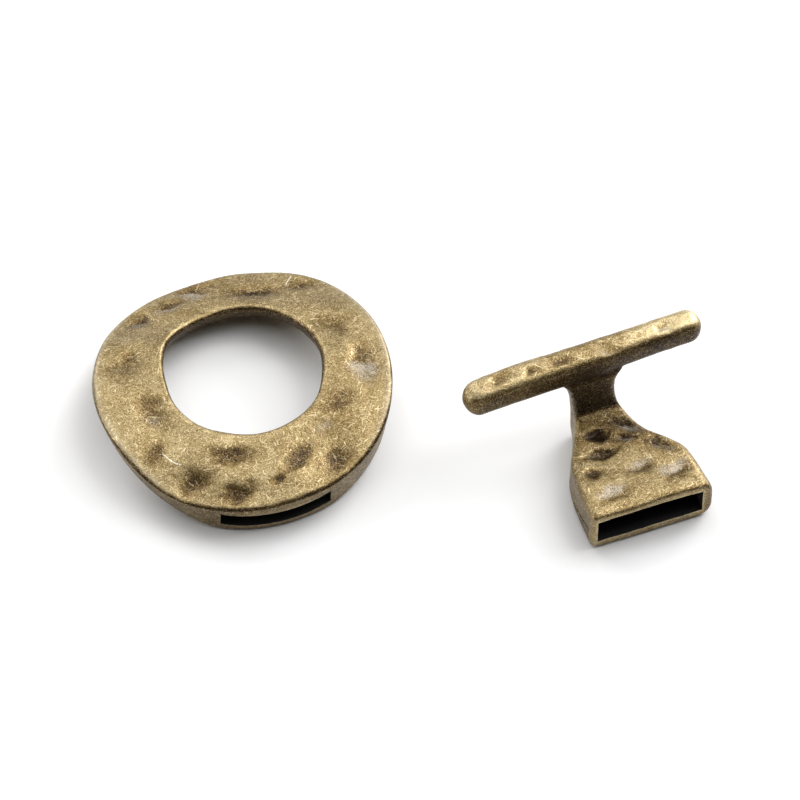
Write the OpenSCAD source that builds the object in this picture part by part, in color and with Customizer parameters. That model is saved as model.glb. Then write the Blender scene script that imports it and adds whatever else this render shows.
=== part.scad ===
// Toggle clasp for a flat strap: two hammered castings that lie unfastened side by side.
// The ring half has a blind slot in its thick front for one strap end. The toggle half has a
// flared socket for the other end, a neck behind it and a cross bar on the neck. The bar goes
// through the ring endways and then lies across it. The ring is bent to follow the wrist, so it
// stands on its front and back and its middle is raised. Units are mm, Z is up, and both halves
// rest on z = 0. Each half is one casting, so each is one solid.

/* [Part] */
// Which casting to draw

/* [Strap slots] */
// Width of both slots, for a strap 10 mm wide
slot_w = 10.5; // [8:0.1:11]
// Height of the slot in the ring
ring_slot_h = 1.75; // [1.2:0.05:2.2]
// How deep the ring's slot goes in
ring_slot_depth = 6; // [4:0.1:6.5]
// How steeply the ring's slot rises from its mouth, to follow the bend of the ring
ring_slot_tilt = 15; // [8:0.5:18]
// Height of the slot in the toggle's socket at its two ends
socket_slot_h = 2.65; // [1.8:0.05:2.7]
// How much higher the socket's slot is in its middle
socket_slot_arch = 0.15; // [0.05:0.05:0.4]
// How deep the socket's slot goes in
socket_slot_depth = 4.5; // [3:0.1:5]

/* [Ring half] */
// Turn of the ring as it lies, anticlockwise from above
ring_turn = 15.2; // [0:0.1:30]
// How far the bend raises the middle of the ring
arch_rise = 3; // [1:0.1:4]
// Distance from the middle of the bend to where the underside comes down to the floor
arch_half = 13.4; // [13:0.1:14.5]
// How far the foot of the outer wall is drawn in under the top edge
foot_inset = 0.5; // [0:0.05:1]
// How far the foot of the hole's wall is drawn back under the top edge
hole_foot_inset = 0.65; // [0:0.05:0.8]
// Rounding of the outer top edge
ring_edge_r = 0.5; // [0.2:0.05:1]
// Rounding of the top edge round the hole
hole_edge_r = 0.7; // [0.2:0.05:1]
// Rounding of the outer bottom edge
ring_foot_r = 0.45; // [0.2:0.05:0.8]
// Rounding of the bottom edge round the hole
hole_foot_r = 0.9; // [0.2:0.05:1]

/* [Toggle half] */
// Turn of the toggle as it lies, anticlockwise from above
toggle_turn = 20.9; // [0:0.1:30]
// Turn of the cross bar on the neck, anticlockwise from above
bar_turn = 2.8; // [0:0.1:6]
// Length of the cross bar over its round ends
bar_l = 24.3; // [20:0.1:30]
// Thickness of the cross bar, front to back and top to bottom
bar_t = 2.85; // [2:0.05:4]
// Rounding of the bar's long edges
bar_edge_r = 1.05; // [0.3:0.05:1.2]
// Length of the bar's round ends
bar_end_r = 1.5; // [0.6:0.05:2]

/* [Hammering] */
// Height of the gentle unevenness of the hammered faces
swell_h = 0.07; // [0:0.01:0.2]
// Distance from one swell to the next
swell_pitch = 7; // [4:0.5:12]
// Slant of the second set of swells, as a share of the way across
swell_slant = 0.4; // [0:0.1:1]

/* [Hidden] */

// Where the middle of the ring's hole and the middle of the socket's mouth stand on the floor
ring_at = [-14.70, 1.53];
toggle_at = [23.34, -13.98];

// The ring, one row per step round it from its right side, anticlockwise:
// outer radius, hole radius, thickness at the outer edge, thickness at the hole
ring_rows = [
    [13.72, 7.22, 2.66, 2.51],
    [13.77, 7.33, 2.48, 2.23],
    [14.53, 7.75, 2.32, 2.00],
    [14.80, 8.25, 2.59, 1.90],
    [14.30, 8.20, 2.92, 1.90],
    [14.40, 8.15, 2.40, 1.90],
    [14.41, 8.00, 2.10, 2.07],
    [14.30, 7.50, 2.10, 2.25],
    [14.59, 7.28, 2.10, 2.37],
    [14.88, 7.60, 2.10, 2.46],
    [15.45, 7.80, 2.34, 2.68],
    [16.00, 7.85, 3.84, 3.00],
    [15.89, 8.05, 4.76, 3.20],
    [15.54, 7.90, 3.96, 3.08],
    [15.06, 7.72, 3.21, 2.85],
    [14.25, 7.30, 2.86, 2.66],
];
ring_steps = 112;     // sections round the ring
ring_face_steps = 13; // stretches across the ring's top face
ring_foot_steps = 8;  // stretches across its underside
arch_y = -0.68;       // middle of the bend, from the middle of the hole
ring_slot_x = -0.6;   // middle of the slot, from the middle of the hole
ring_slot_z = 0.75;   // lower lip under the slot
ring_front_y = -15.7; // front of the ring, from the middle of the hole

// The socket and neck, one row per section from the mouth back and up:
// y and z of its lower or rear edge, y and z of its upper or front edge, left, right,
// how much wider the left and the right are at the lower edge, rounding on the left and right
body_rows = [
    [-0.10, 0.25,  0.00, 4.12, -5.85, 5.85, 0.00, 0.00, 0.70, 1.15],
    [ 0.30, 0.00,  0.35, 4.42, -6.08, 6.10, 0.00, 0.00, 0.75, 1.30],
    [ 1.80, 0.00,  1.80, 4.40, -5.98, 6.05, 0.05, 0.05, 0.70, 1.25],
    [ 3.90, 0.00,  3.90, 4.25, -5.85, 5.90, 0.05, 0.10, 0.60, 1.10],
    [ 5.60, 0.00,  5.60, 4.08, -5.60, 5.50, 0.10, 0.40, 0.55, 0.95],
    [ 7.10, 0.00,  7.10, 3.95, -5.25, 4.50, 0.10, 0.60, 0.50, 0.90],
    [ 8.60, 0.00,  8.60, 3.85, -4.55, 3.20, 0.10, 0.40, 0.50, 0.85],
    [10.30, 0.00, 10.20, 3.80, -3.70, 2.45, 0.05, 0.15, 0.50, 0.75],
    [12.10, 0.00, 11.60, 3.90, -2.95, 2.00, 0.00, 0.00, 0.50, 0.60],
    [13.35, 0.55, 12.15, 4.25, -2.70, 1.75, 0.00, 0.00, 0.50, 0.50],
    [13.60, 2.20, 12.35, 4.80, -2.70, 1.60, 0.00, 0.00, 0.50, 0.50],
    [13.75, 4.30, 12.45, 5.40, -2.80, 1.50, 0.00, 0.00, 0.50, 0.50],
    [14.20, 6.00, 12.55, 6.10, -3.00, 1.50, 0.00, 0.00, 0.55, 0.55],
    [14.70, 6.90, 12.60, 6.85, -3.25, 1.60, 0.00, 0.00, 0.60, 0.60],
    [15.00, 7.45, 12.65, 7.40, -3.55, 1.80, 0.00, 0.00, 0.60, 0.60],
    [15.05, 7.75, 12.70, 7.70, -3.80, 2.05, 0.00, 0.00, 0.60, 0.60],
    [15.05, 8.20, 12.80, 8.10, -4.10, 2.35, 0.00, 0.00, 0.60, 0.60],
    [14.95, 9.20, 12.95, 9.10, -4.10, 2.35, 0.00, 0.00, 0.60, 0.60],
];
body_substeps = 3;      // sections drawn for each row
body_face_steps = 13;   // stretches across the socket's top face
socket_slot_x = -0.25;  // middle of its slot, from the middle of the mouth
socket_slot_z = 1.0;    // lower wall of the socket
socket_arch_steps = 12; // stretches along the slot's arched roof

// The middle of the bar, from the middle of the mouth
bar_mid = [-1.4, 14.1, 9.2];
// The bar, one row per section from its left end: y and z off the middle, share of bar_t
bar_rows = [
    [ 0.00,  0.00, 1.02],
    [ 0.05,  0.04, 1.05],
    [ 0.06,  0.10, 1.07],
    [ 0.02,  0.06, 1.06],
    [-0.02,  0.03, 1.04],
    [ 0.02,  0.03, 1.02],
    [ 0.06, -0.02, 1.00],
    [ 0.03,  0.02, 1.00],
    [ 0.00,  0.05, 1.01],
];
bar_steps = 30;       // sections along the bar's straight length
bar_end_steps = 4;    // sections on each round end
bar_end_sweep = 80;   // degrees that a round end curves in before its flat tip
bar_face_steps = 3;   // stretches across each face of the bar

corner_steps = 3;     // stretches round each rounded corner of a section

// Hammer marks, one row each: x, y, half length, half width, turn, depth
ring_marks = [
    [ -1.9,  12.5, 1.3, 0.60,  10, 0.28],
    [ -4.8,  10.7, 1.2, 0.60,  20, 0.25],
    [ -7.9,   9.6, 1.0, 0.75,  20, 0.26],
    [  3.6,  10.3, 2.2, 0.80, -12, 0.26],
    [  8.2,   9.8, 1.4, 0.80, -20, 0.15],
    [-10.4,   3.9, 1.7, 0.95,  35, 0.26],
    [ -9.7,  -2.8, 2.4, 1.00, 100, 0.30],
    [  9.5,   3.0, 1.7, 0.85, -50, 0.24],
    [ 11.0,  -2.3, 2.2, 1.20,  80, 0.34],
    [  7.7,  -6.4, 1.5, 0.90,  40, 0.12],
    [  5.7,  -9.3, 1.1, 0.80,  20, 0.10],
    [ -3.7,  -9.9, 2.2, 0.80, -15, 0.30],
    [  2.2, -11.8, 1.6, 0.75,  35, 0.26],
    [  5.9, -12.4, 1.3, 0.90,  35, 0.22],
    [  0.1, -13.4, 0.7, 0.50,   0, 0.14],
    [ -7.6, -11.4, 1.3, 1.00,   0, 0.34],
    [ -3.9, -13.8, 1.5, 0.90,  -5, 0.32],
    [-10.6,  -7.8, 1.4, 0.75,  50, 0.16],
];
body_marks = [
    [-1.6,  9.7, 1.10, 0.70,  -5, 0.34],
    [ 1.2,  9.9, 1.40, 0.55, -40, 0.30],
    [ 0.7,  8.2, 0.80, 0.50, -15, 0.26],
    [ 3.2,  6.4, 1.30, 0.50, -35, 0.24],
    [-2.3,  7.3, 1.30, 0.50,   0, 0.32],
    [-4.0,  5.3, 0.70, 0.45, -10, 0.24],
    [ 0.8,  4.5, 1.20, 0.75, -15, 0.20],
    [ 3.5,  2.8, 1.30, 0.90,  10, 0.20],
    [-3.0,  2.3, 1.40, 0.85,   5, 0.18],
];
bar_marks = [
    [-8.2,  0.2, 1.1, 0.55, 10, 0.16],
    [-5.3, -0.4, 0.7, 0.45, 10, 0.16],
    [-2.3, -0.1, 0.8, 0.50,  0, 0.16],
    [ 2.1, -0.5, 1.2, 0.45,  0, 0.12],
    [ 8.2, -0.1, 0.9, 0.55, 10, 0.16],
];

function unit(v) = v / norm(v);
function mix(a, b, f) = a + (b - a) * f;
function total(list) = [for (x = list) 1] * list;

// Smooth curve through four rows, at share f of the way from the second to the third
function curve(p, f) =
    0.5 * (2 * p[1] + (p[2] - p[0]) * f
        + (2 * p[0] - 5 * p[1] + 4 * p[2] - p[3]) * f ^ 2
        + (3 * p[1] - p[0] - 3 * p[2] + p[3]) * f ^ 3);

// Row at place t of a table whose last row comes before its first again
function row_round(rows, t) =
    let (n = len(rows), i = floor(t))
    curve([for (k = [-1 : 2]) rows[(i + k + n) % n]], t - i);

// Row at place t of a table with two ends
function row_along(rows, t) =
    let (last = len(rows) - 1, i = min(floor(t), last - 1))
    curve([for (k = [-1 : 2]) rows[max(0, min(last, i + k))]], t - i);

// One rounded corner q between p and n, anticlockwise: [point, outward direction] pairs
function corner(p, q, n, r) =
    let (a = unit(p - q), b = unit(n - q), half = acos(a * b) / 2,
         middle = q + unit(a + b) * r / sin(half),
         from = [-a[1], a[0]], to = [b[1], -b[0]], sweep = 180 - 2 * half)
    [for (k = [0 : corner_steps])
        let (f = k / corner_steps,
             out = (from * sin((1 - f) * sweep) + to * sin(f * sweep)) / sin(sweep))
        [middle + r * out, out]];

// Section with rounded corners, and sides[k] stretches on the side after corner k
function rounded(corners, radii, sides) =
    let (n = len(corners),
         arcs = [for (k = [0 : n - 1])
            corner(corners[(k + n - 1) % n], corners[k], corners[(k + 1) % n], radii[k])])
    [for (k = [0 : n - 1])
        let (start = arcs[k][corner_steps], end = arcs[(k + 1) % n][0])
        each concat(arcs[k],
            [for (s = [1 : 1 : sides[k] - 1])
                [mix(start[0], end[0], s / sides[k]), start[1]]])];

// Depth of the hammer marks at a point seen from above
function mark_depth(marks, p) =
    total([for (m = marks)
        let (d = p - [m[0], m[1]],
             u = d * [cos(m[4]), sin(m[4])] / m[2],
             v = d * [-sin(m[4]), cos(m[4])] / m[3])
        m[5] * exp(-u * u - v * v)]);

// Gentle unevenness of a hammered face
function swell(p) =
    swell_h * (sin(360 * p[0] / swell_pitch)
        + sin(360 * (p[1] + swell_slant * p[0]) / swell_pitch));

// Solid over a list of closed sections with equally many points. It closes on itself, or else
// each end is a fan round the middle of its section.
module skin(sections, closed) {
    n = len(sections);
    m = len(sections[0]);
    walls = [for (i = [0 : closed ? n - 1 : n - 2], j = [0 : m - 1])
        let (a = i * m, b = (i + 1) % n * m, k = (j + 1) % m)
        each [[a + j, a + k, b + k], [a + j, b + k, b + j]]];
    first = n * m;
    ends = closed ? [] : [for (j = [0 : m - 1])
        let (k = (j + 1) % m)
        each [[first, k, j], [first + 1, (n - 1) * m + j, (n - 1) * m + k]]];
    middles = closed ? [] : [total(sections[0]) / m, total(sections[n - 1]) / m];
    polyhedron(points = [each [for (s = sections) each s], each middles],
        faces = concat(walls, ends), convexity = 8);
}

// How far the bend raises the ring at y from the middle of the hole
function ring_lift(y) = arch_rise * (1 - ((y - arch_y) / arch_half) ^ 2);

// Section of the ring at place t of its table. The underside stays down at 0 where the bend
// would take it lower, and the top follows the bend all the way.
function ring_section(t) =
    let (row = row_round(ring_rows, t), a = 360 * t / len(ring_rows),
         corners = [[row[0] - foot_inset, 0], [row[0], row[2]], [row[1], row[3]],
             [row[1] + hole_foot_inset, 0]],
         radii = [ring_foot_r, ring_edge_r, hole_edge_r, hole_foot_r])
    [for (s = rounded(corners, radii, [1, ring_face_steps, 1, ring_foot_steps]))
        let (x = s[0][0] * cos(a), y = s[0][0] * sin(a), up = max(0, s[1][1]),
             lift = ring_lift(y), raised = mix(max(0, lift), lift, min(1, s[0][1] / row[3])))
        [x, y, s[0][1] + raised + up * (swell([x, y]) - mark_depth(ring_marks, [x, y]))]];

module ring_half() {
    color("#8c7748")
    translate([ring_at[0], ring_at[1], 0])
    rotate(ring_turn)
    difference() {
        skin([for (i = [0 : ring_steps - 1]) ring_section(i * len(ring_rows) / ring_steps)], true);
        translate([ring_slot_x, ring_front_y, ring_slot_z])
        rotate([ring_slot_tilt, 0, 0])
        translate([-slot_w / 2, -ring_slot_depth, 0])
            cube([slot_w, 2 * ring_slot_depth, ring_slot_h]);
    }
}

// Section of the socket and neck at place t of their table
function body_section(t) =
    let (row = row_along(body_rows, t),
         low = [row[0], max(0, row[1])], high = [row[2], row[3]],
         rise = norm(high - low), along = unit(high - low),
         corners = [[row[4] - row[6], 0], [row[5] + row[7], 0], [row[5], rise], [row[4], rise]])
    [for (s = rounded(corners, [row[8], row[9], row[9], row[8]], [1, 2, body_face_steps, 2]))
        let (x = s[0][0], reach = low + along * s[0][1], p = [x, reach[0]],
             up = max(0, s[1][1]) * max(0, along[1]) ^ 2,
             lift = up * (swell(p) - mark_depth(body_marks, p)))
        [x, reach[0] + along[0] * lift, max(0, reach[1] + along[1] * lift)]];

// Outline of the socket's slot, seen from its mouth: a flat floor and a roof that rises to the
// middle as one arc
module socket_slot_outline() {
    half = slot_w / 2;
    r = (half ^ 2 + socket_slot_arch ^ 2) / (2 * socket_slot_arch);
    roof = [for (k = [0 : socket_arch_steps])
        let (x = mix(half, -half, k / socket_arch_steps))
        [x, socket_slot_h + socket_slot_arch - r + sqrt(r ^ 2 - x ^ 2)]];
    polygon(concat([[-half, 0], [half, 0]], roof));
}

// Section of the bar at x from its middle, drawn in to the given share of its thickness
function bar_section(x, share) =
    let (row = row_along(bar_rows, (x / bar_l + 0.5) * (len(bar_rows) - 1)),
         half = bar_t * row[2] / 2,
         corners = [[-half, -half], [half, -half], [half, half], [-half, half]],
         r = bar_edge_r, n = bar_face_steps)
    [for (s = rounded(corners, [r, r, r, r], [n, n, n, n]))
        let (y = s[0][0] * share, up = max(0, s[1][1]) * share,
             z = s[0][1] * share - up * mark_depth(bar_marks, [x, y]))
        [x, y + row[0], z + row[1]]];

module bar() {
    straight = bar_l / 2 - bar_end_r;
    ends = [for (k = [1 : bar_end_steps]) k * bar_end_sweep / bar_end_steps];
    translate(bar_mid)
    rotate(bar_turn)
    skin(concat(
        [for (k = [bar_end_steps - 1 : -1 : 0])
            bar_section(straight + bar_end_r * sin(ends[k]), cos(ends[k]))],
        [for (i = [0 : bar_steps]) bar_section(mix(straight, -straight, i / bar_steps), 1)],
        [for (a = ends) bar_section(-straight - bar_end_r * sin(a), cos(a))]), false);
}

module toggle_half() {
    places = (len(body_rows) - 1) * body_substeps;
    color("#8c7748")
    translate([toggle_at[0], toggle_at[1], 0])
    rotate(toggle_turn)
    difference() {
        union() {
            skin([for (i = [0 : places]) body_section(i / body_substeps)], false);
            bar();
        }
        translate([socket_slot_x, socket_slot_depth, socket_slot_z])
        rotate([90, 0, 0])
        linear_extrude(2 * socket_slot_depth)
        socket_slot_outline();
    }
}

ring_half();
toggle_half();
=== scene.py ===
"""Toggle clasp for a flat strap, dressed: two hammered castings in antique bronze on a pale floor.

Lengths in the tables are millimetres, measured in each half's own frame: x across the strap slot,
y away from its mouth, z up. put_on_node() turns them and puts them where the frame has the node.
"""
import math
from collections import namedtuple

import bpy
import numpy as np
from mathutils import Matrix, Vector


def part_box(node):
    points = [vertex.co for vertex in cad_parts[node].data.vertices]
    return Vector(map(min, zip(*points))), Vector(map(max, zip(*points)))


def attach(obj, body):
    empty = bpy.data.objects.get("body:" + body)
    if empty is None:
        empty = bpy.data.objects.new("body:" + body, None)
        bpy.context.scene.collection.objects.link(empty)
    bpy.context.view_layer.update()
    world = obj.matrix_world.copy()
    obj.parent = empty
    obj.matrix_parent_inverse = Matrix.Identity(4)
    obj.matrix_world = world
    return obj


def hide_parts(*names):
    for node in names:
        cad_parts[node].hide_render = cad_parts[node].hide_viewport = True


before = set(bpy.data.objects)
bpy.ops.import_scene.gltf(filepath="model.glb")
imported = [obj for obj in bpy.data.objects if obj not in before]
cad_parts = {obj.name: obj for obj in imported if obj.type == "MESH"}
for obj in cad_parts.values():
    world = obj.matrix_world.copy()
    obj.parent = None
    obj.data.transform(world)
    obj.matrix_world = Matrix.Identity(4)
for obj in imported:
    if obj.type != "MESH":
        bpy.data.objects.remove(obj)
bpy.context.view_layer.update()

MM = 0.001
SLOT_W = 10.5            # both slots take a flat strap 10 mm wide

# A strap slot: the middle of its mouth, its height at the sides, how much higher its middle is,
# its depth, and by how many degrees it rises inwards
Slot = namedtuple("Slot", "x y z height arch depth rise")

# A hammer mark seen from above: its middle, half length and half width, the degrees that its
# length is turned anticlockwise from x, its depth, how much dark patina it has, and how strong
# a painted grey highlight (its shine) lies on one side of it
Mark = namedtuple("Mark", "x y length width turn depth patina shine")


# Curves and grids

def smooth_step(low, high, v):
    """0 at low and before it, 1 at high and after it, and 3f^2 - 2f^3 in between."""
    f = np.clip((v - low) / (high - low), 0, 1)
    return f * f * (3 - 2 * f)


def read_table(rows, places, closed=False):
    """The smooth curve through a table's rows, read at each place, where place 0 is the first row.
    Between two rows it is the Catmull-Rom cubic of the four rows around that stretch."""
    rows = np.asarray(rows, float)
    last = len(rows) - 1
    i = np.floor(places).astype(int)
    if not closed:
        i = np.minimum(i, last - 1)
    f = (places - i)[:, None]
    p0, p1, p2, p3 = (rows[(i + k) % (last + 1) if closed else np.clip(i + k, 0, last)]
                      for k in (-1, 0, 1, 2))
    return 0.5 * (2 * p1 + (p2 - p0) * f
                  + (2 * p0 - 5 * p1 + 4 * p2 - p3) * f ** 2
                  + (3 * p1 - p0 - 3 * p2 + p3) * f ** 3)


def unit(v):
    """Each vector divided by its length."""
    return v / np.linalg.norm(v, axis=-1, keepdims=True)


def turned(points, degrees):
    """Points turned anticlockwise about the z axis."""
    c, s = math.cos(math.radians(degrees)), math.sin(math.radians(degrees))
    return points @ np.array([[c, s, 0], [-s, c, 0], [0, 0, 1]])


def rounded_sections(corners, radii, sides, arc_steps):
    """Polygons with rounded corners, anticlockwise, one for each row of corners (m, k, 2).
    A corner is middle + radius * out, where out swings evenly from the normal of the side before
    to that of the side after. A side is cut evenly into sides[k] stretches. Returns the points
    and their outward directions, each (m, p, 2)."""
    count = corners.shape[1]
    f = np.linspace(0, 1, arc_steps + 1)[None, :, None]
    arcs = []
    for k in range(count):
        here = corners[:, k]
        a = unit(corners[:, k - 1] - here)
        b = unit(corners[:, (k + 1) % count] - here)
        half = np.arccos(np.sum(a * b, axis=1))[:, None] / 2
        middle = here + unit(a + b) * radii[:, k, None] / np.sin(half)
        start = np.stack([-a[:, 1], a[:, 0]], axis=1)[:, None]
        end = np.stack([b[:, 1], -b[:, 0]], axis=1)[:, None]
        sweep = (math.pi - 2 * half)[:, :, None]
        out = (start * np.sin((1 - f) * sweep) + end * np.sin(f * sweep)) / np.sin(sweep)
        arcs.append((middle[:, None] + radii[:, k, None, None] * out, out))
    points, outs = [], []
    for k, (arc, out) in enumerate(arcs):
        share = (np.arange(1, sides[k]) / sides[k])[None, :, None]
        ahead = arcs[(k + 1) % count][0][:, :1]
        points += [arc, arc[:, -1:] * (1 - share) + ahead * share]
        outs += [out, np.repeat(out[:, -1:], sides[k] - 1, axis=1)]
    return np.concatenate(points, axis=1), np.concatenate(outs, axis=1)


def skin(name, grid, closed):
    """A mesh over a grid (m sections, p points, 3). The sections close on themselves. The last
    one joins the first, or else each end is a fan round the middle of its section."""
    m, p, _ = grid.shape
    i, j = np.meshgrid(np.arange(m if closed else m - 1), np.arange(p), indexing="ij")
    a, b = i * p, (i + 1) % m * p
    k = (j + 1) % p
    faces = np.stack([a + j, b + j, b + k, a + k], axis=-1).reshape(-1, 4).tolist()
    points = grid.reshape(-1, 3)
    if not closed:
        first, rim = m * p, np.arange(p)
        ahead = (rim + 1) % p
        back = (m - 1) * p
        faces += np.stack([np.full(p, first), rim, ahead], axis=1).tolist()
        faces += np.stack([np.full(p, first + 1), back + ahead, back + rim], axis=1).tolist()
        points = np.concatenate([points, grid[[0, -1]].mean(axis=1)])
    mesh = bpy.data.meshes.new(name)
    mesh.from_pydata(points.tolist(), [], faces)
    piece = bpy.data.objects.new(name, mesh)
    bpy.context.collection.objects.link(piece)
    return piece


def read_array(items, name, columns=1, kind=float):
    """One property of all of a mesh's vertices, normals or faces, with a row for each."""
    flat = np.empty(len(items) * columns, kind)
    items.foreach_get(name, flat)
    return flat.reshape(-1, columns)


def points_and_normals(piece):
    """Positions and normals of a piece's vertices, each (n, 3)."""
    return (read_array(piece.data.vertices, "co", 3),
            read_array(piece.data.vertex_normals, "vector", 3))


def settle(piece):
    """Applies the piece's modifiers to its mesh."""
    graph = bpy.context.evaluated_depsgraph_get()
    mesh = bpy.data.meshes.new_from_object(piece.evaluated_get(graph))
    old = piece.data
    piece.modifiers.clear()
    piece.data = mesh
    bpy.data.meshes.remove(old)


def combine(piece, other, operation):
    """Joins another solid to the piece, or cuts it away, and drops the other one."""
    boolean = piece.modifiers.new("join", "BOOLEAN")
    boolean.operation = operation
    boolean.solver = "EXACT"
    boolean.object = other
    settle(piece)
    bpy.data.objects.remove(other)


# Strap slots

def slot_roof(slot, x):
    """The roof of a slot's outline: z = height + arch * (1 - (x / half)^2)."""
    return slot.height + slot.arch * (1 - (2 * x / SLOT_W) ** 2)


def slot_cutter(slot, steps=25):
    """A strap slot to cut away: its outline has a flat floor and an arched roof, and is carried
    from in front of the mouth to its depth, along a line that rises by the slot's angle."""
    half = SLOT_W / 2
    x = np.linspace(half, -half, steps)
    outline = np.concatenate([[(-half, 0), (half, 0)], np.stack([x, slot_roof(slot, x)], axis=1)])
    reach = np.array([-slot.depth, slot.depth])[:, None]
    c, s = math.cos(math.radians(slot.rise)), math.sin(math.radians(slot.rise))
    grid = np.stack([np.tile(outline[:, 0], (2, 1)), reach * c - outline[:, 1] * s,
                     reach * s + outline[:, 1] * c], axis=-1)
    return skin("slot", grid + (slot.x, slot.y, slot.z), closed=False)


def in_slot(slot, points):
    """Points in the slot's own frame: across it, inwards from its mouth, and up from its floor."""
    c, s = math.cos(math.radians(slot.rise)), math.sin(math.radians(slot.rise))
    x, y, z = (points - (slot.x, slot.y, slot.z)).T
    return x, y * c + z * s, z * c - y * s


# Relief of the hammered faces

NOISE_CELLS = 24         # the lattice of random values repeats after so many cells
FINE_RELIEF = [          # pitch, height and seed of the casting's own unevenness
    (2.2, 0.035, 31), (0.9, 0.018, 32), (0.4, 0.006, 33),
]
RAGGED_X = [(1.1, 0.28, 11), (0.5, 0.12, 12)]    # pitch, reach and seed of what makes marks ragged
RAGGED_Y = [(1.1, 0.28, 21), (0.5, 0.12, 22)]
SWELL_H, SWELL_PITCH, SWELL_SLANT = 0.07, 7, 0.4
MARK_SCALE = 1.15        # the marks are so much deeper than in the solids, whose facets are flat
MARK_POWER = 1.4         # a mark falls off as exp(-(r^2)^1.4)
PATINA_CORE, PATINA_HALO = 0.42, 0.12
HALO_SPREAD, SHINE_SPREAD = 2.6, 1.6
SHINE_CLEARS = 0.7       # how much of a mark's patina a full painted highlight takes away
NEAR_SHINE = (180, -0.15)      # where the painted highlight lies: heading, clockwise from straight away from the camera, and start
FAR_SHINE = (-35, -0.6)
SHINE_END = 0.5


def lattice_noise(points, pitch, seed):
    """Smooth noise from -1 to 1: random values on a cubic lattice of the given pitch, blended
    between its corners with the curve 3f^2 - 2f^3."""
    values = np.random.default_rng(seed).uniform(-1, 1, (NOISE_CELLS,) * 3)
    q = points / pitch
    i = np.floor(q).astype(int)
    f = q - i
    f = f * f * (3 - 2 * f)
    total = np.zeros(len(points))
    for corner in range(8):
        step = np.array([corner >> 2 & 1, corner >> 1 & 1, corner & 1])
        at = (i + step) % NOISE_CELLS
        weight = np.prod(np.where(step, f, 1 - f), axis=1)
        total += weight * values[at[:, 0], at[:, 1], at[:, 2]]
    return total


def layered_noise(points, layers):
    """The sum of height * lattice noise over layers of pitch, height and seed."""
    return sum(height * lattice_noise(points, pitch, seed) for pitch, height, seed in layers)


def swell(x, y):
    """Gentle unevenness: two sine waves, one straight across and one at a slant."""
    wave = 2 * math.pi / SWELL_PITCH
    return SWELL_H * (np.sin(wave * x) + np.sin(wave * (y + SWELL_SLANT * x)))


def ragged(x, y):
    """The points moved about in x and y, each by its own layered noise."""
    flat = np.stack([np.ravel(x), np.ravel(y), np.zeros(np.size(x))], axis=1)
    return [v + layered_noise(flat, layers).reshape(np.shape(v))
            for v, layers in ((x, RAGGED_X), (y, RAGGED_Y))]


def mark_distance(mark, x, y):
    """The squared distance r^2 from a mark's middle, which is 1 at its half length along it and
    at its half width across it."""
    c, s = math.cos(math.radians(mark.turn)), math.sin(math.radians(mark.turn))
    u = ((x - mark.x) * c + (y - mark.y) * s) / mark.length
    v = ((y - mark.y) * c - (x - mark.x) * s) / mark.width
    return u * u + v * v


def mark_depth(marks, x, y):
    """How deep the hammer marks are, seen from above: 1.15 * the sum of depth * exp(-r^2.8)."""
    x, y = ragged(x, y)
    depth = np.zeros(np.shape(x))
    for mark in (Mark(*row) for row in marks):
        depth += mark.depth * np.exp(-mark_distance(mark, x, y) ** MARK_POWER)
    return MARK_SCALE * depth


def shine_side(mark, turn, x, y):
    """Which side of a mark gets the painted highlight, from 0 to 1: a smooth step along a heading
    as the camera sees it, measured in reaches of the mark that way. A positive shine is on the near
    side, and a negative one on the far side towards the left. The turn is that of the mark's half."""
    heading, start = NEAR_SHINE if mark.shine > 0 else FAR_SHINE
    aim, own = math.radians(turn + heading), math.radians(mark.turn)
    reach = math.hypot(mark.length * math.sin(aim + own), mark.width * math.cos(aim + own))
    ahead = ((x - mark.x) * math.sin(aim) + (y - mark.y) * math.cos(aim)) / reach
    return smooth_step(start, SHINE_END, ahead)


def mark_finish(marks, x, y, turn):
    """What the marks do to the finish. The first is patina: its core exp(-r^2.8) and a halo
    exp(-r^2 / 2.6), less under the painted highlight. The second is a painted grey highlight,
    exp(-r^2 / 1.6) on one side of a mark, standing in for light reflected there. Where marks overlap,
    the strongest counts."""
    x, y = ragged(x, y)
    patina, grey = np.zeros((2, *np.shape(x)))
    for mark in (Mark(*row) for row in marks):
        square = mark_distance(mark, x, y)
        shone = abs(mark.shine) * shine_side(mark, turn, x, y) * np.exp(-square / SHINE_SPREAD)
        stain = (PATINA_CORE * np.exp(-square ** MARK_POWER)
                 + PATINA_HALO * np.exp(-square / HALO_SPREAD)) * (1 - SHINE_CLEARS * shone)
        patina = np.maximum(patina, mark.patina * stain)
        grey = np.maximum(grey, shone)
    return patina, grey


# Finish attributes

# A fade is the value at which something starts to show, and the one at which it shows fully
TOP_FADE = (0.5, 0.85)   # upward part of the normal
MOUTH_FADE = (1.2, 0.6)  # depth in a slot
MOUTH_WEAR, MOUTH_REACH = 0.3, 0.22
HAIR, END_HAIR = 0.02, 0.05      # faces so little outside a slot, or past its end, count as its walls


def add_up(amounts, shares):
    """Each named place's amount times the share that a point has of that place, added up."""
    return sum(amount * shares[name] for name, amount in amounts.items())


def facing_up(normals):
    """1 where the surface faces up and 0 on its walls: a smooth step of the normal's z."""
    return smooth_step(*TOP_FADE, normals[:, 2])


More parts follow.
